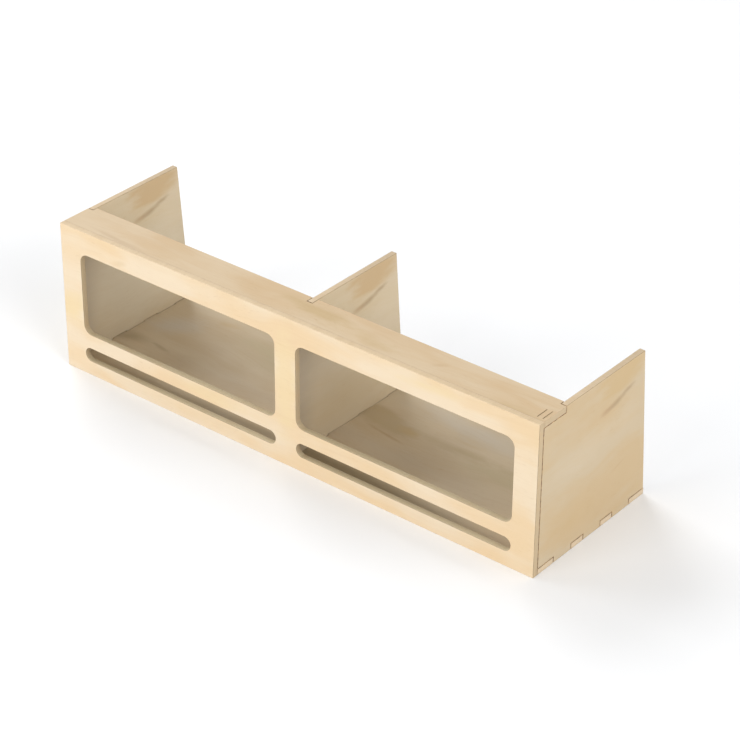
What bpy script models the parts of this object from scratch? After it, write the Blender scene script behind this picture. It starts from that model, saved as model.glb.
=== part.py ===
"""Paint rack organizer: an open-backed rack of laser-cut plywood with two bays behind a windowed front.

Metres, +Z up. The origin is the middle of the rack's footprint, on the surface it stands on.
+X runs along the length, the front faces -Y and the bays are open to +Y.
"""

import math

import bmesh
import bpy

# Outer size of the rack.
LENGTH = 0.300
HEIGHT = 0.084
DEPTH_AT_BASE = 0.091
DEPTH_AT_TOP = 0.084

# Plywood, and the clearance that is left in every joint.
SHEET = 0.0032
JOINT_GAP = 0.0003
GLUE_GAP = 0.00015

# Two windows and two narrow slots, one of each above the other for each bay.
WINDOW_LENGTH = 0.130
WINDOW_BOTTOM = 0.0244
WINDOW_TOP = 0.0710
WINDOW_CORNER = 0.005
SLOT_BOTTOM = 0.0084
SLOT_TOP = 0.0161
CORNER_STEPS = 8

# The rail lies flat behind the top of the front panel, notched where the uprights rise past it.
RAIL_BACK = 0.0232
END_NOTCH_FRONT = 0.0204
MIDDLE_NOTCH_FRONT = 0.0186

# The finger joint along each side: the base has four tabs, the uprights three.
END_TAB = 0.0128
MIDDLE_TAB = 0.0098

# Two short parallel marks cut into the rail beside its right-hand end.
MARK_FROM_END = (0.0022, 0.0052)
MARK_FRONT = 0.0051
MARK_BACK = 0.0129
MARK_WIDTH = 0.0005
MARK_DEPTH = 0.0008

# Wood colours, as linear RGB, with a roughness for each kind of surface.
FACE_WOOD = (0.87, 0.70, 0.49)
RAIL_WOOD = (0.80, 0.63, 0.43)
SIDE_WOOD = (0.76, 0.58, 0.38)
DIVIDER_WOOD = (0.74, 0.56, 0.37)
BASE_WOOD = (0.72, 0.55, 0.37)
WOOD_ROUGHNESS = 0.62

HALF_LENGTH = LENGTH / 2
FRONT = -DEPTH_AT_BASE / 2
BACK_AT_BASE = FRONT + DEPTH_AT_BASE
BACK_AT_TOP = FRONT + DEPTH_AT_TOP
BEHIND_FRONT = FRONT + SHEET + JOINT_GAP
UNDER_RAIL = HEIGHT - SHEET
WINDOW_SPACE = (LENGTH - 2 * WINDOW_LENGTH) / 3
WINDOW_OFFSET = (WINDOW_LENGTH + WINDOW_SPACE) / 2
FINGER = (DEPTH_AT_BASE - SHEET - 2 * END_TAB - 2 * MIDDLE_TAB) / 3


def clear_scene():
    for old in list(bpy.data.objects):
        bpy.data.objects.remove(old, do_unlink=True)


def new_collection(name):
    collection = bpy.data.collections.new(name)
    bpy.context.scene.collection.children.link(collection)
    return collection


def wood(name, color):
    material = bpy.data.materials.new(name)
    material.use_nodes = True
    shader = material.node_tree.nodes["Principled BSDF"]
    shader.inputs["Base Color"].default_value = (*color, 1.0)
    shader.inputs["Roughness"].default_value = WOOD_ROUGHNESS
    shader.inputs["Metallic"].default_value = 0.0
    material.diffuse_color = (*color, 1.0)
    return material


def rounded_rectangle(left, bottom, right, top, radius):
    """Corner arcs joined by straight sides, anticlockwise."""
    corners = (
        (right - radius, bottom + radius, -90),
        (right - radius, top - radius, 0),
        (left + radius, top - radius, 90),
        (left + radius, bottom + radius, 180),
    )
    points = []
    for center_u, center_v, start in corners:
        for step in range(CORNER_STEPS + 1):
            angle = math.radians(start + 90 * step / CORNER_STEPS)
            points.append((center_u + radius * math.cos(angle), center_v + radius * math.sin(angle)))
    return points


def cut_sheet(name, outlines, center, turn, material, collection):
    """A flat piece of plywood: the first outline is its edge and the others are holes through it."""
    curve = bpy.data.curves.new(name + "_outline", "CURVE")
    curve.dimensions = "2D"
    curve.fill_mode = "BOTH"
    curve.extrude = SHEET / 2
    for outline in outlines:
        spline = curve.splines.new("POLY")
        spline.points.add(len(outline) - 1)
        for point, (u, v) in zip(spline.points, outline):
            point.co = (u, v, 0.0, 1.0)
        spline.use_cyclic_u = True
    drawn = bpy.data.objects.new(name + "_outline", curve)
    drawn.location = center
    drawn.rotation_euler = turn
    collection.objects.link(drawn)
    return solid_from(drawn, name, material, collection)


def solid_from(drawn, name, material, collection):
    """Turns a drawn outline into a closed mesh, with its caps joined to its sides."""
    bpy.context.view_layer.update()
    graph = bpy.context.evaluated_depsgraph_get()
    mesh = bpy.data.meshes.new_from_object(drawn.evaluated_get(graph))
    shape = bmesh.new()
    shape.from_mesh(mesh)
    bmesh.ops.remove_doubles(shape, verts=shape.verts, dist=0.000001)
    bmesh.ops.recalc_face_normals(shape, faces=shape.faces)
    shape.to_mesh(mesh)
    shape.free()
    mesh.name = name
    mesh.materials.clear()
    mesh.materials.append(material)
    piece = bpy.data.objects.new(name, mesh)
    piece.matrix_world = drawn.matrix_world
    collection.objects.link(piece)
    bpy.data.objects.remove(drawn, do_unlink=True)
    return piece


def tab_spans():
    """Front and back of each of the base's four tabs along one side."""
    spans = []
    start = FRONT + SHEET
    for length in (END_TAB, MIDDLE_TAB, MIDDLE_TAB, END_TAB):
        spans.append((start, start + length))
        start += length + FINGER
    return spans


def finger_spans():
    """Front and back of each of an upright's three fingers, between the base's tabs."""
    tabs = tab_spans()
    return [(before[1], after[0]) for before, after in zip(tabs, tabs[1:])]


def front_panel(material, collection):
    outlines = [[(-HALF_LENGTH, 0), (HALF_LENGTH, 0), (HALF_LENGTH, HEIGHT), (-HALF_LENGTH, HEIGHT)]]
    slot_radius = (SLOT_TOP - SLOT_BOTTOM) / 2
    for side in (-1, 1):
        left = side * WINDOW_OFFSET - WINDOW_LENGTH / 2
        right = side * WINDOW_OFFSET + WINDOW_LENGTH / 2
        outlines.append(rounded_rectangle(left, WINDOW_BOTTOM, right, WINDOW_TOP, WINDOW_CORNER))
        outlines.append(rounded_rectangle(left, SLOT_BOTTOM, right, SLOT_TOP, slot_radius))
    center = (0, FRONT + SHEET / 2, 0)
    return cut_sheet("front_panel", outlines, center, (math.pi / 2, 0, 0), material, collection)


def rail_outline():
    """The rail from above, with a notch at each back corner and one in the middle."""
    back = FRONT + RAIL_BACK
    front = FRONT + SHEET + GLUE_GAP
    end_notch = FRONT + END_NOTCH_FRONT
    middle_notch = FRONT + MIDDLE_NOTCH_FRONT
    inside_end = HALF_LENGTH - SHEET - JOINT_GAP
    beside_middle = SHEET / 2 + JOINT_GAP
    right_half = [
        (HALF_LENGTH, front),
        (HALF_LENGTH, end_notch),
        (inside_end, end_notch),
        (inside_end, back),
        (beside_middle, back),
        (beside_middle, middle_notch),
    ]
    left_half = [(-x, y) for x, y in reversed(right_half)]
    return right_half + left_half


def top_rail(material, collection, cutters):
    center = (0, 0, HEIGHT - SHEET / 2)
    rail = cut_sheet("top_rail", [rail_outline()], center, (0, 0, 0), material, collection)
    for number, from_end in enumerate(MARK_FROM_END, start=1):
        cutter = mark_cutter(f"rail_mark_cutter_{number}", HALF_LENGTH - from_end, cutters)
        cut = rail.modifiers.new(f"mark_{number}", "BOOLEAN")
        cut.operation = "DIFFERENCE"
        cut.solver = "EXACT"
        cut.object = cutter
    return rail


def mark_cutter(name, x, cutters):
    """A thin upright block that cuts one shallow mark into the top of the rail."""
    shape = bmesh.new()
    bmesh.ops.create_cube(shape, size=1.0)
    size = (MARK_WIDTH, MARK_BACK - MARK_FRONT, 2 * MARK_DEPTH)
    bmesh.ops.scale(shape, vec=size, verts=shape.verts)
    mesh = bpy.data.meshes.new(name)
    shape.to_mesh(mesh)
    shape.free()
    cutter = bpy.data.objects.new(name, mesh)
    cutter.location = (x, FRONT + (MARK_FRONT + MARK_BACK) / 2, HEIGHT)
    cutter.hide_render = True
    cutter.display_type = "WIRE"
    cutters.objects.link(cutter)
    return cutter


def base_outline():
    """The base from above, with four tabs along each end."""
    inside = HALF_LENGTH - SHEET - JOINT_GAP
    right_edge = []
    for index, (front, back) in enumerate(tab_spans()):
        first = index == 0
        last = index == 3
        tab_front = BEHIND_FRONT if first else front + JOINT_GAP / 2
        tab_back = back if last else back - JOINT_GAP / 2
        if not first:
            right_edge.append((inside, tab_front))
        right_edge.append((HALF_LENGTH, tab_front))
        right_edge.append((HALF_LENGTH, tab_back))
        if not last:
            right_edge.append((inside, tab_back))
    left_edge = [(-x, y) for x, y in reversed(right_edge)]
    return right_edge + left_edge


def base_panel(material, collection):
    """The floor of both bays, with three mortises under the divider."""
    outlines = [base_outline()]
    half_width = SHEET / 2 + JOINT_GAP
    for front, back in finger_spans():
        outlines.append([(-half_width, front), (half_width, front), (half_width, back), (-half_width, back)])
    return cut_sheet("base_panel", outlines, (0, 0, SHEET / 2), (0, 0, 0), material, collection)


def upright_outline(notch_front):
    """An upright from the side: fingers below, a shoulder under the rail and a leaning back edge."""
    above_base = SHEET + JOINT_GAP
    lean = (DEPTH_AT_BASE - DEPTH_AT_TOP) / HEIGHT
    outline = [(BEHIND_FRONT, above_base)]
    for front, back in finger_spans():
        finger_front = front + JOINT_GAP / 2
        finger_back = back - JOINT_GAP / 2
        outline += [(finger_front, above_base), (finger_front, 0), (finger_back, 0), (finger_back, above_base)]
    outline.append((BACK_AT_BASE - lean * above_base, above_base))
    outline.append((BACK_AT_TOP, HEIGHT))
    outline.append((FRONT + notch_front + JOINT_GAP, HEIGHT))
    outline.append((FRONT + notch_front + JOINT_GAP, UNDER_RAIL - JOINT_GAP))
    outline.append((BEHIND_FRONT, UNDER_RAIL - JOINT_GAP))
    return outline


def upright(name, x, notch_front, material, collection):
    turn = (math.pi / 2, 0, math.pi / 2)
    return cut_sheet(name, [upright_outline(notch_front)], (x, 0, 0), turn, material, collection)


def build():
    clear_scene()
    rack = new_collection("paint_rack_organizer")
    cutters = new_collection("cutters")
    cutters.hide_render = True
    side_wood = wood("side_wood", SIDE_WOOD)
    side_x = HALF_LENGTH - SHEET / 2
    front_panel(wood("front_wood", FACE_WOOD), rack)
    top_rail(wood("rail_wood", RAIL_WOOD), rack, cutters)
    base_panel(wood("base_wood", BASE_WOOD), rack)
    upright("left_side", -side_x, END_NOTCH_FRONT, side_wood, rack)
    upright("middle_divider", 0.0, MIDDLE_NOTCH_FRONT, wood("divider_wood", DIVIDER_WOOD), rack)
    upright("right_side", side_x, END_NOTCH_FRONT, side_wood, rack)


build()
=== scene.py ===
"""Looks of the paint rack organizer: six pieces of bare laser-cut plywood on a pale studio floor.

Metres, +Z up. The windowed front faces -Y, the length runs along X and the bays open to +Y.
"""

import math

import bmesh
import bpy
from mathutils import Matrix, Vector
from mathutils.bvhtree import BVHTree


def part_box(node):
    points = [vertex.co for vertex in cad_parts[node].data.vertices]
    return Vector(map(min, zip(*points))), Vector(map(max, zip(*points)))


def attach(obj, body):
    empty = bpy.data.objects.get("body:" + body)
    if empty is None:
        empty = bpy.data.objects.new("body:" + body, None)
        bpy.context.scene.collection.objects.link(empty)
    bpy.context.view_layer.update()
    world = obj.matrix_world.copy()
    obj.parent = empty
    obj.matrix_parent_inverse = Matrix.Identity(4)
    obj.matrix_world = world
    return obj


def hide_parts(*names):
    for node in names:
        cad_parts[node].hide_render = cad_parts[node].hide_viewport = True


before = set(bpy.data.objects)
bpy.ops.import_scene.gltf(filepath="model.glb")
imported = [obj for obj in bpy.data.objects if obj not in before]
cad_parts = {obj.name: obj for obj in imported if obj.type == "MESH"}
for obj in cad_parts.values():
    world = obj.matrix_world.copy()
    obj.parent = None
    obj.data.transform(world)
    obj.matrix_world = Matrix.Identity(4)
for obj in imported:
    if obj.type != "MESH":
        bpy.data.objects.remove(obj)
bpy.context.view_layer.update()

MM = 0.001

# Places on the rack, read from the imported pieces.
PANEL_LOW, PANEL_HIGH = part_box("front_panel")
LEFT_END = PANEL_LOW.x
FRONT = PANEL_LOW.y
SHEET = PANEL_HIGH.y - PANEL_LOW.y
ORIGIN = {"X": LEFT_END, "Y": FRONT, "Z": 0.0}

# An arris is the worn-off corner between a face and a cut edge. A surface with a neighbour nearer
# than JOINT_REACH is inside a joint, and one nearer than GLUED_REACH is glued tight against it.
ARRIS = 0.2 * MM
ARRIS_SEGMENTS = 2
JOINT_REACH = 0.6 * MM
GLUED_REACH = 0.2 * MM
WELD = 0.001 * MM
SHARP_ANGLE = math.radians(35)
FLAT_ANGLE = math.radians(0.5)
SQUARE_ON = 0.999

# The finishes of a sheet, in the order of its material slots.
VENEER, OUTER_EDGE, REVEAL, KERF, TOASTED_ARRIS = range(5)

# Colours, linear RGB: the veneer's ground tones, streaks, clouds and painted shade, then the cut edges.
FRONT_PALE = (0.655, 0.540, 0.390)
FRONT_WARM = (0.638, 0.482, 0.298)
FRONT_YELLOW = (0.648, 0.512, 0.305)
RAIL_PALE = (0.628, 0.492, 0.326)
RAIL_WARM = (0.588, 0.428, 0.254)
# The uprights' SIDE and INNER tones are darker than the other sheets', in part as painted shade that holds
# back the lamp light on their faces towards +X.
SIDE_PALE = (0.452, 0.361, 0.240)
SIDE_WARM = (0.450, 0.335, 0.195)
SIDE_HONEY = (0.440, 0.315, 0.160)
INNER_PALE = (0.512, 0.424, 0.296)
INNER_WARM = (0.488, 0.395, 0.258)
INNER_HONEY = (0.440, 0.305, 0.155)
BASE_PALE = (0.583, 0.476, 0.323)
BASE_WARM = (0.541, 0.424, 0.271)
BASE_OLIVE = (0.510, 0.420, 0.258)
BAND_BROWN = (0.440, 0.335, 0.190)
FIBRE_BROWN = (0.47, 0.31, 0.16)
HONEY = (0.530, 0.385, 0.205)
MILKY_FLOOR = (0.555, 0.480, 0.370)
MILKY_WALL = (0.565, 0.488, 0.358)
# Painted shade: darker tones for the base and the inner walls near the front panel, where the bays lie in
# shade.
PAINTED_SHADE_FLOOR = (0.280, 0.222, 0.132)
PAINTED_SHADE_WALL = (0.340, 0.285, 0.215)
STREAK_BROWN = (0.360, 0.220, 0.110)
STREAK_OLIVE = (0.290, 0.205, 0.110)
MILKY = (0.500, 0.430, 0.320)
EDGE_PALE = (0.620, 0.490, 0.335)
EDGE_CORE = (0.595, 0.465, 0.310)
FRONT_EDGE_PALE = (0.637, 0.501, 0.330)
FRONT_EDGE_CORE = (0.627, 0.487, 0.315)
REVEAL_PALE = (0.545, 0.455, 0.295)
REVEAL_CORE = (0.500, 0.415, 0.260)
END_GRAIN = (0.410, 0.315, 0.195)
TAB_GRAIN = (0.520, 0.415, 0.285)
GLUE_BROWN = (0.420, 0.300, 0.180)
KERF_BROWN = (0.120, 0.070, 0.038)
TOAST_DARK = (0.300, 0.220, 0.130)
TOAST_PALE = (0.420, 0.320, 0.195)
RIM_DARK = (0.110, 0.080, 0.045)
RIM_PALE = (0.220, 0.165, 0.095)


# ---------------------------------------------------------------- node helpers


def add(tree, kind, **settings):
    """A new node with these settings."""
    node = tree.nodes.new(kind)
    for name, value in settings.items():
        setattr(node, name, value)
    return node


def feed(tree, node, socket, value):
    """Links an output socket to an input, or sets the input's own value, as three numbers for a colour."""
    target = node.inputs[socket]
    if isinstance(value, bpy.types.NodeSocket):
        tree.links.new(value, target)
    elif isinstance(value, tuple) and len(value) == 3 and target.type == "RGBA":
        target.default_value = (*value, 1.0)
    else:
        target.default_value = value


def calc(tree, operation, first, second=None, clamp=False):
    node = add(tree, "ShaderNodeMath", operation=operation, use_clamp=clamp)
    feed(tree, node, 0, first)
    if second is not None:
        feed(tree, node, 1, second)
    return node.outputs[0]


def vector_calc(tree, operation, first, second=None):
    node = add(tree, "ShaderNodeVectorMath", operation=operation)
    feed(tree, node, 0, first)
    if second is not None:
        feed(tree, node, "Scale" if operation == "SCALE" else 1, second)
    return node.outputs["Value" if operation == "LENGTH" else "Vector"]


def centred(tree, value, width):
    """Turns a noise that varies about a half into one that varies about zero, width times as far."""
    return calc(tree, "MULTIPLY", calc(tree, "SUBTRACT", value, 0.5), width)


def noise(tree, vector, scale, detail=2.0, roughness=0.5):
    node = add(tree, "ShaderNodeTexNoise")
    feed(tree, node, "Vector", vector)
    feed(tree, node, "Scale", scale)
    feed(tree, node, "Detail", detail)
    feed(tree, node, "Roughness", roughness)
    return node.outputs["Fac"]


def ramp(tree, value, low, high, to_low=0.0, to_high=1.0):
    """value runs smoothly from to_low at low to to_high at high."""
    node = add(tree, "ShaderNodeMapRange", interpolation_type="SMOOTHSTEP")
    feed(tree, node, "Value", value)
    feed(tree, node, "From Min", low)
    feed(tree, node, "From Max", high)
    feed(tree, node, "To Min", to_low)
    feed(tree, node, "To Max", to_high)
    return node.outputs["Result"]


def blend(tree, amount, first, second):
    """A colour that goes from first to second as amount goes from 0 to 1."""
    node = add(tree, "ShaderNodeMix", data_type="RGBA")
    feed(tree, node, "Factor", amount)
    feed(tree, node, "A", first)
    feed(tree, node, "B", second)
    return node.outputs["Result"]


def new_group(name, inputs, outputs):
    """A node group with its sockets; inputs and outputs are (name, kind, default)."""
    group = bpy.data.node_groups.new(name, "ShaderNodeTree")
    for in_out, sockets in (("INPUT", inputs), ("OUTPUT", outputs)):
        for socket_name, kind, default in sockets:
            socket_type = "NodeSocket" + kind
            socket = group.interface.new_socket(socket_name, in_out=in_out, socket_type=socket_type)
            if default is not None:
                socket.default_value = default
    given = group.nodes.new("NodeGroupInput")
    result = group.nodes.new("NodeGroupOutput")
    return group, given.outputs, result


def place(tree, group, **values):
    """Puts a node group in a material; a socket's spaces are underscores in values."""
    node = add(tree, "ShaderNodeGroup", node_tree=group)
    for name, value in values.items():
        feed(tree, node, name.replace("_", " "), value)
    return node.outputs


# ---------------------------------------------------------------- effects

# How far a noise is squeezed along the grain, or through the sheet, to make long marks of it.
FIBRE_STRETCH = (0.03, 1.0, 1.0)
PORE_STRETCH = (0.07, 1.0, 1.0)
FIGURE_STRETCH = (0.3, 1.0, 1.0)
DRIFT_STRETCH = (0.35, 1.0, 1.0)
STRIATION_STRETCH = (1.0, 1.0, 0.06)
TOAST_STRETCH = (1.0, 1.0, 0.4)

# How fine each noise is, in swells per mm.
DRIFT_SCALE = 0.035
SHEEN_SCALE = 0.045
CROWDING_SCALE = 0.06
TOAST_SCALE = 0.11
WOBBLE_SCALE = 0.12
RAGGED_SCALE = 0.16
STRIATION_SCALE = 2.6
PORE_SCALE = 3.4

ACROSS_GRAIN = (0.0, 1.0, 0.0)
GRAIN_BEND_MM = 22.0
PLY_WOBBLE_MM = 0.35
SEED_STEP = (37.1, 11.7, 5.3)


def wood_grain_group():
    """Fibre, wide figure and pores of sliced veneer. Vector is in mm with X along the grain."""
    group, given, result = new_group(
        "wood_grain",
        [
            ("Vector", "Vector", None),
            ("Seed", "Float", 0.0),
            ("Fibre Width", "Float", 1.0),
            ("Figure Size", "Float", 18.0),
        ],
        [
            ("Fibre", "Float", None),
            ("Figure", "Float", None),
            ("Pores", "Float", None),
            ("Sheen Patches", "Float", None),
        ],
    )
    shift = vector_calc(group, "SCALE", SEED_STEP, given["Seed"])
    moved = vector_calc(group, "ADD", given["Vector"], shift)
    drift = noise(group, vector_calc(group, "MULTIPLY", moved, DRIFT_STRETCH), DRIFT_SCALE, 2.0)
    bend = vector_calc(group, "SCALE", ACROSS_GRAIN, centred(group, drift, GRAIN_BEND_MM))
    wavy = vector_calc(group, "ADD", moved, bend)
    fibre_scale = calc(group, "DIVIDE", 1.0, given["Fibre Width"])
    fibre = noise(group, vector_calc(group, "MULTIPLY", wavy, FIBRE_STRETCH), fibre_scale, 4.0, 0.62)
    figure_scale = calc(group, "DIVIDE", 1.0, given["Figure Size"])
    figure = noise(group, vector_calc(group, "MULTIPLY", wavy, FIGURE_STRETCH), figure_scale, 3.0, 0.5)
    dashes = noise(group, vector_calc(group, "MULTIPLY", wavy, PORE_STRETCH), PORE_SCALE, 1.0)
    crowding = noise(group, moved, CROWDING_SCALE, 1.0)
    limit = ramp(group, crowding, 0.35, 0.65, 0.74, 0.64)
    pores = calc(group, "MULTIPLY", calc(group, "SUBTRACT", dashes, limit), 9.0, clamp=True)
    patches = noise(group, moved, SHEEN_SCALE, 2.0)
    for name, value in (("Fibre", fibre), ("Figure", figure), ("Pores", pores), ("Sheen Patches", patches)):
        group.links.new(value, result.inputs[name])
    return group


def soft_patch_group():
    """A soft-edged oval of another tone, such as a mineral streak, a milky spot in the veneer, or painted
    shade.
    """
    group, given, result = new_group(
        "soft_patch",
        [
            ("Vector", "Vector", None),
            ("Centre", "Vector", None),
            ("Turn", "Float", 0.0),
            ("Reach", "Vector", (10.0, 10.0, 1000.0)),
            ("Raggedness", "Float", 0.5),
            ("Softness", "Float", 0.7),
        ],
        [("Mask", "Float", None)],
    )
    turned = add(group, "ShaderNodeVectorRotate", rotation_type="Z_AXIS", invert=True)
    feed(group, turned, "Vector", vector_calc(group, "SUBTRACT", given["Vector"], given["Centre"]))
    feed(group, turned, "Angle", given["Turn"])
    fitted = vector_calc(group, "DIVIDE", turned.outputs["Vector"], given["Reach"])
    distance = vector_calc(group, "LENGTH", fitted)
    squeezed = vector_calc(group, "MULTIPLY", given["Vector"], DRIFT_STRETCH)
    rough = noise(group, squeezed, RAGGED_SCALE, 3.0, 0.6)
    ragged = centred(group, rough, calc(group, "MULTIPLY", given["Raggedness"], 2.0))
    inner = calc(group, "SUBTRACT", 1.0, given["Softness"])
    mask = ramp(group, calc(group, "ADD", distance, ragged), 1.0, inner)
    group.links.new(mask, result.inputs["Mask"])
    return group


def ply_layers_group():
    """The three plies, glue lines and striations of a cut edge. Z runs through the sheet, from its middle."""
    group, given, result = new_group(
        "ply_layers",
        [("Vector", "Vector", None), ("Core Half", "Float", 0.85), ("Glue Width", "Float", 0.09)],
        [
            ("Core", "Float", None),
            ("Glue", "Float", None),
            ("Striation", "Float", None),
            ("Toast", "Float", None),
        ],
    )
    parts = add(group, "ShaderNodeSeparateXYZ")
    feed(group, parts, 0, given["Vector"])
    wobble = centred(group, noise(group, given["Vector"], WOBBLE_SCALE, 2.0), PLY_WOBBLE_MM)
    depth = calc(group, "ADD", calc(group, "ABSOLUTE", parts.outputs["Z"]), wobble)
    core = ramp(group, calc(group, "SUBTRACT", depth, given["Core Half"]), 0.06, -0.06)
    from_glue = calc(group, "ABSOLUTE", calc(group, "SUBTRACT", depth, given["Core Half"]))
    glue = ramp(group, calc(group, "DIVIDE", from_glue, given["Glue Width"]), 1.0, 0.2)
    through = vector_calc(group, "MULTIPLY", given["Vector"], STRIATION_STRETCH)
    lines = noise(group, through, STRIATION_SCALE, 2.0, 0.6)
    scorched = vector_calc(group, "MULTIPLY", given["Vector"], TOAST_STRETCH)
    toast = noise(group, scorched, TOAST_SCALE, 3.0, 0.6)
    for name, value in (("Core", core), ("Glue", glue), ("Striation", lines), ("Toast", toast)):
        group.links.new(value, result.inputs[name])
    return group


WOOD_GRAIN = wood_grain_group()
SOFT_PATCH = soft_patch_group()
PLY_LAYERS = ply_layers_group()


# ---------------------------------------------------------------- finishes

WOOD_IOR = 1.46
WOOD_SPECULAR = 0.35
RELIEF = 0.5
GRAIN_DEPTH = 0.05 * MM
STRIATION_DEPTH = 0.06 * MM
PIT_DEPTH = 0.05 * MM

# The grain is read further apart through the sheet, so that each face has a figure of its own.
FACES_APART = (1.0, 1.0, 5.0)
ENDLESS_MM = 1000.0


def sheet_coordinates(tree, axes, centre):
    """Millimetres on a sheet: X along its grain and Y across it from ORIGIN, and Z from its middle plane."""
    where = add(tree, "ShaderNodeTexCoord").outputs["Object"]
    parts = add(tree, "ShaderNodeSeparateXYZ")
    feed(tree, parts, 0, vector_calc(tree, "SCALE", where, 1 / MM))
    whole = add(tree, "ShaderNodeCombineXYZ")
    for socket, axis in zip("XYZ", axes):
        start = centre if socket == "Z" else ORIGIN[axis]
        feed(tree, whole, socket, calc(tree, "SUBTRACT", parts.outputs[axis], start / MM))
    return whole.outputs[0]


def new_wood(name):
    material = bpy.data.materials.new(name)
    material.use_nodes = True
    tree = material.node_tree
    shader = tree.nodes["Principled BSDF"]
    shader.inputs["IOR"].default_value = WOOD_IOR
    shader.inputs["Specular IOR Level"].default_value = WOOD_SPECULAR
    return material, tree, shader


def rough_up(tree, shader, height, depth):
    bump = add(tree, "ShaderNodeBump")
    bump.inputs["Distance"].default_value = depth
    bump.inputs["Strength"].default_value = RELIEF
    feed(tree, bump, "Height", height)
    tree.links.new(bump.outputs["Normal"], shader.inputs["Normal"])


def veneer(name, axes, centre, pale, warm, seed, patches, fibre):
    """Bare sanded face veneer. Each patch is (colour, centre, turn, reach, softness, raggedness, strength).

    Centres and reaches are in mm along and across the grain, and turns in degrees. With two numbers for each
    a patch goes through the sheet; a third number, from the sheet's middle, keeps it near one face.
    """
    material, tree, shader = new_wood(name)
    spot = sheet_coordinates(tree, axes, centre)
    both_faces = vector_calc(tree, "MULTIPLY", spot, FACES_APART)
    grain = place(tree, WOOD_GRAIN, Vector=both_faces, Seed=seed)
    color = blend(tree, ramp(tree, grain["Figure"], 0.38, 0.66), pale, warm)
    # Patches are streaks and clouds of the wood, and on the base and inner walls some are painted shade.
    for tone, middle, turn, reach, softness, raggedness, strength in patches:
        mask = place(
            tree, SOFT_PATCH, Vector=spot, Centre=(*middle, 0.0)[:3], Turn=math.radians(turn),
            Reach=(*reach, ENDLESS_MM)[:3], Softness=softness, Raggedness=raggedness,
        )["Mask"]
        color = blend(tree, calc(tree, "MULTIPLY", mask, strength), color, tone)
    lines = ramp(tree, grain["Fibre"], 0.42, 0.78, 0.0, fibre)
    color = blend(tree, lines, color, FIBRE_BROWN)
    color = blend(tree, calc(tree, "MULTIPLY", grain["Pores"], 0.22), color, STREAK_BROWN)
    tree.links.new(color, shader.inputs["Base Color"])
    gloss = ramp(tree, grain["Sheen Patches"], 0.3, 0.7, 0.50, 0.62)
    dull_pores = calc(tree, "MULTIPLY", grain["Pores"], 0.15)
    tree.links.new(calc(tree, "ADD", gloss, dull_pores), shader.inputs["Roughness"])
    height = calc(tree, "SUBTRACT", grain["Fibre"], calc(tree, "MULTIPLY", grain["Pores"], 0.8))
    rough_up(tree, shader, height, GRAIN_DEPTH)
    return material


def facing(tree, axis):
    """How squarely the surface faces along an axis, from 0 to 1."""
    parts = add(tree, "ShaderNodeSeparateXYZ")
    feed(tree, parts, 0, add(tree, "ShaderNodeTexCoord").outputs["Normal"])
    return calc(tree, "ABSOLUTE", parts.outputs[axis])


def cut_edge(name, axes, centre, pale, core, glue=0.45, end_tone=END_GRAIN):
    """A laser-cut edge: pale outer plies, a darker core, glue lines, toasted end grain and striations."""
    material, tree, shader = new_wood(name)
    spot = sheet_coordinates(tree, axes, centre)
    plies = place(tree, PLY_LAYERS, Vector=spot)
    color = blend(tree, plies["Core"], pale, core)
    end_grain = ramp(tree, facing(tree, axes[0]), 0.35, 0.95, 0.0, 0.9)
    color = blend(tree, end_grain, color, end_tone)
    color = blend(tree, calc(tree, "MULTIPLY", plies["Glue"], glue), color, GLUE_BROWN)
    color = blend(tree, ramp(tree, plies["Toast"], 0.45, 0.75, 0.0, 0.3), color, FIBRE_BROWN)
    color = blend(tree, ramp(tree, plies["Striation"], 0.4, 0.8, 0.0, 0.25), color, GLUE_BROWN)
    tree.links.new(color, shader.inputs["Base Color"])
    tree.links.new(ramp(tree, plies["Striation"], 0.2, 0.8, 0.52, 0.7), shader.inputs["Roughness"])
    height = calc(tree, "SUBTRACT", plies["Striation"], calc(tree, "MULTIPLY", plies["Glue"], 0.4))
    rough_up(tree, shader, height, STRIATION_DEPTH)
    return material


def toasted(name, dark, pale):
    """Wood browned by the beam, uneven and dull, with fine pits."""
    material, tree, shader = new_wood(name)
    where = vector_calc(tree, "SCALE", add(tree, "ShaderNodeTexCoord").outputs["Object"], 1 / MM)
    tone = ramp(tree, noise(tree, where, 0.5, 3.0), 0.3, 0.7)
    tree.links.new(blend(tree, tone, dark, pale), shader.inputs["Base Color"])
    tree.links.new(ramp(tree, tone, 0.0, 1.0, 0.7, 0.85), shader.inputs["Roughness"])
    rough_up(tree, shader, noise(tree, where, 3.0, 2.0), PIT_DEPTH)
    return material


# ---------------------------------------------------------------- pieces


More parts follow.
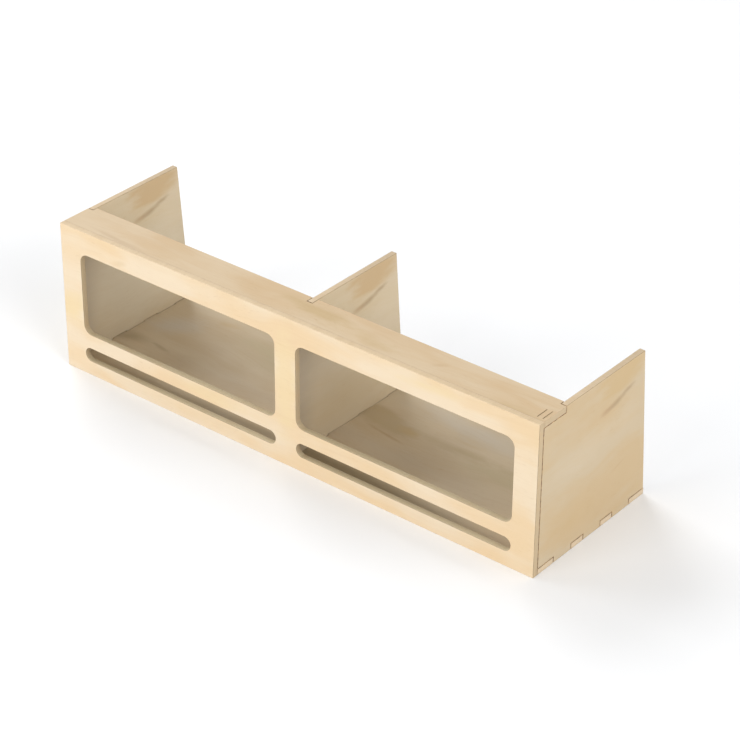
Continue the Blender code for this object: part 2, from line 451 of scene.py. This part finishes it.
def cut_piece(node, piece_name, across, clean_along=""):
    """A copy of a packed sheet with softened arrises, each face given its finish's slot.

    across is the axis through the sheet. The outer arrises at the two ends of clean_along are sanded clean.
    """
    shape = bmesh.new()
    shape.from_mesh(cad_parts[node].data)
    bmesh.ops.remove_doubles(shape, verts=shape.verts, dist=WELD)
    bmesh.ops.dissolve_limit(shape, angle_limit=FLAT_ANGLE, verts=shape.verts, edges=shape.edges)
    neighbours = neighbours_of(node)
    arrises = soften_arrises(shape, neighbours)
    outline = "XYZ".replace(across, "")
    normal = Vector([axis == across for axis in "XYZ"])
    shape.normal_update()
    for face in shape.faces:
        middle = face.calc_center_median()
        in_joint = GLUED_REACH < distance_to(neighbours, middle) < JOINT_REACH
        flat = abs(face.normal.dot(normal)) > SQUARE_ON
        face.smooth = not flat
        if flat:
            face.material_index = VENEER
        elif in_joint and not inside_bay(middle):
            face.material_index = KERF
        elif face in arrises and not on_outline(node, middle, clean_along):
            face.material_index = TOASTED_ARRIS
        else:
            face.material_index = OUTER_EDGE if on_outline(node, middle, outline) else REVEAL
    for edge in shape.edges:
        if edge.calc_face_angle(0.0) > SHARP_ANGLE:
            edge.smooth = False
    mesh = bpy.data.meshes.new(piece_name)
    shape.to_mesh(mesh)
    shape.free()
    piece = bpy.data.objects.new(piece_name, mesh)
    bpy.context.scene.collection.objects.link(piece)
    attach(piece, "root")
    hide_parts(node)
    return piece


def soften_arrises(shape, neighbours):
    """Rounds every sharp edge that isn't glued tight to a neighbour, and returns the new faces."""
    corners = []
    for edge in shape.edges:
        middle = (edge.verts[0].co + edge.verts[1].co) / 2
        if edge.calc_face_angle(0.0) > SHARP_ANGLE and distance_to(neighbours, middle) > GLUED_REACH:
            corners.append(edge)
    bevel = bmesh.ops.bevel(
        shape, geom=corners, offset=ARRIS, offset_type="OFFSET", segments=ARRIS_SEGMENTS, profile=0.5,
        affect="EDGES", clamp_overlap=True,
    )
    return set(bevel["faces"])


def neighbours_of(node):
    """A search tree over the surfaces of every other packed sheet."""
    points, faces = [], []
    for name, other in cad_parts.items():
        if name == node:
            continue
        start = len(points)
        points += [v.co.copy() for v in other.data.vertices]
        faces += [[start + index for index in face.vertices] for face in other.data.polygons]
    return BVHTree.FromPolygons(points, faces)


def distance_to(surfaces, point):
    """How far the nearest of these surfaces is, up to 1 m."""
    distance = surfaces.find_nearest(point)[3]
    return 1.0 if distance is None else distance


def inside_bay(point):
    """True for the clean corners inside the bays, past the middles of the end sheets, base and rail."""
    between_ends = LEFT_END + SHEET / 2 < point.x < PANEL_HIGH.x - SHEET / 2
    return between_ends and SHEET / 2 < point.z < PANEL_HIGH.z - SHEET / 2


def on_outline(node, point, outline):
    """True where the point lies on the piece's outer rectangle, to within an arris, along these axes."""
    low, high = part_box(node)
    places = ["XYZ".index(axis) for axis in outline]
    return any(min(point[i] - low[i], high[i] - point[i]) < 2 * ARRIS for i in places)


def finish_piece(piece, face_finish, edge_finish, reveal_finish=None, rim_finish=None):
    """Gives a piece its finishes, in the order of the slots.

    With none of its own, its reveals take the edge finish and its arrises the shared toasted one.
    """
    reveal_finish = reveal_finish or edge_finish
    rim_finish = rim_finish or TOASTED_RIM
    for finish in (face_finish, edge_finish, reveal_finish, TOASTED_KERF, rim_finish):
        piece.data.materials.append(finish)


TOASTED_KERF = toasted("toasted_kerf", KERF_BROWN, FIBRE_BROWN)
TOASTED_RIM = toasted("toasted_arris", TOAST_DARK, TOAST_PALE)


def front_panel():
    piece = cut_piece("front_panel", "windowed_front", "Y", clean_along="Z")
    centre = FRONT + SHEET / 2
    patches = (
        (HONEY, (41, 74.5), 18, (8, 2.4), 0.9, 0.6, 0.4),
        (FRONT_WARM, (20, 73), 8, (26, 6), 1.0, 0.8, 0.7),
        (HONEY, (149, 68), 0, (8, 0.8), 0.9, 0.3, 0.35),
        (FRONT_YELLOW, (150, 46), 0, (9, 42), 0.7, 0.6, 0.8),
        (FRONT_YELLOW, (6, 38), 3, (13, 14), 0.8, 0.7, 0.9),
        (FRONT_WARM, (8, 10), 3, (22, 8), 1.0, 0.8, 0.7),
        (FRONT_YELLOW, (240, 79), 4, (30, 4), 1.0, 0.8, 0.8),
        (FRONT_YELLOW, (105, 20), -3, (40, 5), 1.0, 0.8, 0.6),
        (FRONT_WARM, (292, 30), 2, (12, 24), 1.0, 0.8, 0.7),
    )
    axes = ("X", "Z", "Y")
    finish_piece(
        piece,
        veneer("front_veneer", axes, centre, FRONT_PALE, FRONT_WARM, 1.0, patches, 0.1),
        cut_edge("front_cut_edge", axes, centre, FRONT_EDGE_PALE, FRONT_EDGE_CORE, 0.15),
        cut_edge("window_reveal", axes, centre, REVEAL_PALE, REVEAL_CORE, 0.3),
        toasted("window_rim", RIM_DARK, RIM_PALE),
    )


def top_rail():
    piece = cut_piece("top_rail", "notched_top_rail", "Z", clean_along="Y")
    centre = PANEL_HIGH.z - SHEET / 2
    patches = (
        (HONEY, (160, 14), -7, (32, 9), 0.9, 0.7, 0.9),
        (HONEY, (196, 9), -6, (26, 6), 1.0, 0.8, 0.7),
        (STREAK_BROWN, (38, 5.2), -4.5, (34, 2.2), 1.0, 0.7, 0.25),
        (RAIL_WARM, (40, 12), -6, (44, 6), 1.0, 0.8, 0.6),
        (HONEY, (284, 4), 0, (24, 4), 1.0, 0.8, 0.55),
        (FIBRE_BROWN, (234, 12), 40, (8, 2.6), 1.0, 0.8, 0.3),
    )
    axes = ("X", "Y", "Z")
    finish_piece(
        piece,
        veneer("rail_veneer", axes, centre, RAIL_PALE, RAIL_WARM, 2.0, patches, 0.16),
        cut_edge("rail_cut_edge", axes, centre, EDGE_PALE, EDGE_CORE),
    )


def base_panel():
    piece = cut_piece("base_panel", "bay_floor", "Z")
    centre = SHEET / 2
    patches = (
        (MILKY_FLOOR, (150, 36), 0, (150, 13), 1.0, 0.4, 0.4),
        # Painted shade: a band along the front of the base, behind the front panel.
        (PAINTED_SHADE_FLOOR, (150, 8), 0, (150, 10), 0.6, 0.1, 0.8),
        (MILKY_FLOOR, (20, 62), 40, (24, 13), 1.0, 0.5, 1.0),
        # Painted shade in the left bay, next to the left end's wall.
        (PAINTED_SHADE_FLOOR, (8, 38), 12, (16, 8), 1.0, 0.5, 0.5),
        (STREAK_OLIVE, (29, 39.5), -10, (9, 2.0), 1.0, 0.6, 0.4),
        (BASE_OLIVE, (85, 70), -10, (40, 17), 1.0, 0.6, 0.8),
        (HONEY, (41, 79), 15, (10, 5), 1.0, 0.7, 0.5),
        (MILKY_FLOOR, (205, 79), -4, (58, 12), 1.0, 0.5, 0.9),
        (BASE_OLIVE, (245, 54), 0, (42, 13), 1.0, 0.7, 0.8),
        (BAND_BROWN, (163, 60), -10, (32, 11), 0.6, 0.5, 0.7),
        (BAND_BROWN, (212, 60), 2, (46, 6), 1.0, 0.6, 0.6),
        (HONEY, (182, 58), -14, (11, 5), 1.0, 0.5, 0.6),
        (STREAK_BROWN, (173, 49), -8, (17, 1.5), 1.0, 0.5, 0.45),
    )
    axes = ("X", "Y", "Z")
    finish_piece(
        piece,
        veneer("base_veneer", axes, centre, BASE_PALE, BASE_WARM, 3.0, patches, 0.18),
        cut_edge("base_cut_edge", axes, centre, EDGE_PALE, EDGE_CORE, end_tone=TAB_GRAIN),
    )


def upright_patches(warm, honey, warm_foot):
    """The figure that the three uprights share, cut from one length of veneer."""
    return (
        (MILKY, (38, 50), 6, (50, 13), 1.0, 0.6, 0.3),
        (warm, (48, 19), 7, (62, 17), 0.6, 0.5, warm_foot),
        (honey, (30, 17), 4, (24, 8), 1.0, 0.7, 0.35 * warm_foot),
        (honey, (66, 80), 10, (26, 12), 0.6, 0.5, 0.8),
        (STREAK_OLIVE, (63, 66.6), 13, (17, 2.8), 1.0, 0.6, 0.75),
        (STREAK_BROWN, (54, 64.9), 6, (8, 2.8), 1.0, 0.5, 0.4),
        (STREAK_OLIVE, (71, 69.2), 12, (8, 1.8), 1.0, 0.5, 0.5),
        (STREAK_BROWN, (67, 29), 14, (10, 0.9), 1.0, 0.3, 0.22 * warm_foot),
    )


def upright(node, piece_name, pale, warm, patches):
    low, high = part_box(node)
    centre = (low.x + high.x) / 2
    piece = cut_piece(node, piece_name, "X")
    axes = ("Y", "Z", "X")
    finish_piece(
        piece,
        veneer(piece_name + "_veneer", axes, centre, pale, warm, 4.0, patches, 0.14),
        cut_edge(piece_name + "_cut_edge", axes, centre, EDGE_PALE, EDGE_CORE),
    )


# On the faces towards +X only: painted shade in the front corner next to the front panel, and the left end's
# pale foot.
PAINTED_SHADE_FRONT_CORNER = (PAINTED_SHADE_WALL, (8, 45, 1.5), 0, (17, 80, 2.5), 1.0, 0.2, 0.75)
PALE_FOOT = (MILKY_WALL, (45, 30, 1.5), 0, (62, 34, 2.5), 0.8, 0.4, 0.8)
INNER_PATCHES = upright_patches(INNER_WARM, INNER_HONEY, 0.4) + (PAINTED_SHADE_FRONT_CORNER,)
LEFT_PATCHES = upright_patches(INNER_WARM, INNER_HONEY, 0.4) + (PALE_FOOT, PAINTED_SHADE_FRONT_CORNER)
OUTER_PATCHES = upright_patches(SIDE_WARM, SIDE_HONEY, 1.0)

front_panel()
top_rail()
base_panel()
upright("left_side", "left_end_upright", INNER_PALE, INNER_WARM, LEFT_PATCHES)
upright("middle_divider", "bay_divider", INNER_PALE, INNER_WARM, INNER_PATCHES)
upright("right_side", "right_end_upright", SIDE_PALE, SIDE_WARM, OUTER_PATCHES)


# ---------------------------------------------------------------- studio

# The floor lies a hair under the rack, so that no two faces coincide.
FLOOR_HALF = 6.0
FLOOR_DROP = 0.02 * MM
FLOOR_PALE = (0.895, 0.903, 0.915)
FLOOR_ROUGHNESS = 0.9
FLOOR_SPECULAR = 0.1

SKY_LIGHT = 0.42
SOFTBOX_DISTANCE = 2.4
WIDE_SOFTBOX = 1.5
SOFTBOX = 1.3
AIM_HEIGHT = 40 * MM


def studio_floor():
    shape = bmesh.new()
    bmesh.ops.create_grid(shape, x_segments=1, y_segments=1, size=FLOOR_HALF)
    mesh = bpy.data.meshes.new("studio_floor")
    shape.to_mesh(mesh)
    shape.free()
    floor = bpy.data.objects.new("studio_floor", mesh)
    floor.location.z = -FLOOR_DROP
    bpy.context.scene.collection.objects.link(floor)
    paint = bpy.data.materials.new("pale_floor")
    paint.use_nodes = True
    shader = paint.node_tree.nodes["Principled BSDF"]
    shader.inputs["Base Color"].default_value = (*FLOOR_PALE, 1.0)
    shader.inputs["Roughness"].default_value = FLOOR_ROUGHNESS
    shader.inputs["Specular IOR Level"].default_value = FLOOR_SPECULAR
    mesh.materials.append(paint)


def soft_box(name, size, azimuth, elevation, power):
    """A square softbox aimed at the rack. Azimuth is in degrees from the front towards +X."""
    light = bpy.data.lights.new(name, "AREA")
    light.shape = "SQUARE"
    light.size = size
    light.energy = power
    lamp = bpy.data.objects.new(name, light)
    turn = math.radians(azimuth)
    rise = math.radians(elevation)
    away = Vector((math.sin(turn) * math.cos(rise), -math.cos(turn) * math.cos(rise), math.sin(rise)))
    lamp.location = Vector((0, 0, AIM_HEIGHT)) + away * SOFTBOX_DISTANCE
    lamp.rotation_euler = away.to_track_quat("Z", "Y").to_euler()
    bpy.context.scene.collection.objects.link(lamp)


def studio_light():
    world = bpy.data.worlds.new("white_studio")
    world.use_nodes = True
    sky = world.node_tree.nodes["Background"]
    sky.inputs["Color"].default_value = (1.0, 1.0, 1.0, 1.0)
    sky.inputs["Strength"].default_value = SKY_LIGHT
    bpy.context.scene.world = world
    soft_box("front_softbox", WIDE_SOFTBOX, -8, 14, 32.0)
    soft_box("left_low_softbox", SOFTBOX, -70, 12, 29.0)
    soft_box("left_key_softbox", SOFTBOX, -115, 42, 25.0)
    soft_box("right_key_softbox", SOFTBOX, 75, 26, 29.0)
    soft_box("right_low_softbox", SOFTBOX, 110, 12, 20.0)


# A long lens to the right of the rack, in front and above. CAMERA_PLACE is in mm from the rack's left front
# bottom corner; swing turns it to the left, dip points it down, and the shift is in frame widths.
CAMERA_PLACE = (843.33, -794.60, 695.83)
CAMERA_SWING = math.radians(38.871)
CAMERA_DIP = math.radians(31.153)
CAMERA_ROLL = math.radians(0.357)
LENS = 124.5
SENSOR = 36.0
LENS_SHIFT = (-0.00034, -0.00949)
NEAREST_SEEN = 50 * MM


def studio_camera():
    lens = bpy.data.cameras.new("studio_camera")
    lens.sensor_width = SENSOR
    lens.lens = LENS
    lens.shift_x, lens.shift_y = LENS_SHIFT
    lens.clip_start = NEAREST_SEEN
    camera = bpy.data.objects.new("studio_camera", lens)
    spot = Vector(CAMERA_PLACE) * MM + Vector((LEFT_END, FRONT, 0))
    swing = Matrix.Rotation(CAMERA_SWING, 4, "Z")
    tilt = Matrix.Rotation(math.pi / 2 - CAMERA_DIP, 4, "X")
    roll = Matrix.Rotation(CAMERA_ROLL, 4, "Z")
    camera.matrix_world = Matrix.Translation(spot) @ swing @ tilt @ roll
    bpy.context.scene.collection.objects.link(camera)
    bpy.context.scene.camera = camera


studio_floor()
studio_light()
studio_camera()
bpy.context.scene.view_settings.view_transform = "Standard"
